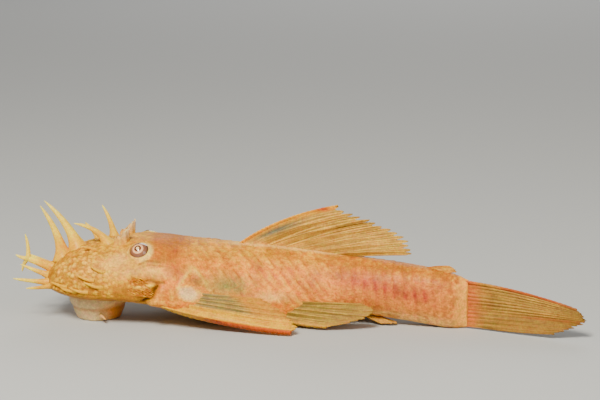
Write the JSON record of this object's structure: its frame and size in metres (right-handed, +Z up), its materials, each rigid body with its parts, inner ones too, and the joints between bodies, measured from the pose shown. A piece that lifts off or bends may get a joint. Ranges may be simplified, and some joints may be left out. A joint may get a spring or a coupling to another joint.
{
  "type": "bristlenose pleco model",
  "caption": "Life-size male bristlenose pleco of the yellow albino form, resting on its belly with raised back fin, nose tentacles and a tail turned to its left.",
  "frame": {"origin": "on the floor under the middle of the fish's bounding box", "axes": "+X from the snout to the tail, +Z up, the fish's left side faces -Y"},
  "size_m": [0.1304, 0.0396, 0.0273],
  "materials": {
    "skin": "moist satin",
    "plates": "moist satin",
    "fin": "moist satin",
    "lip": "moist satin",
    "eye": "wet gloss"
  },
  "bodies": {
    "root": {"head": "skin", "sucker_mouth": "lip", "trunk": "plates", "tail_stalk": "plates", "eye_left": "eye", "eye_right": "eye", "dorsal_fin": "fin", "adipose_fin": "fin", "caudal_fin": "fin", "anal_fin": "fin", "pectoral_fin_left": "fin", "pectoral_fin_right": "fin", "pelvic_fin_left": "fin", "pelvic_fin_right": "fin"}
  },
  "joints": []
}
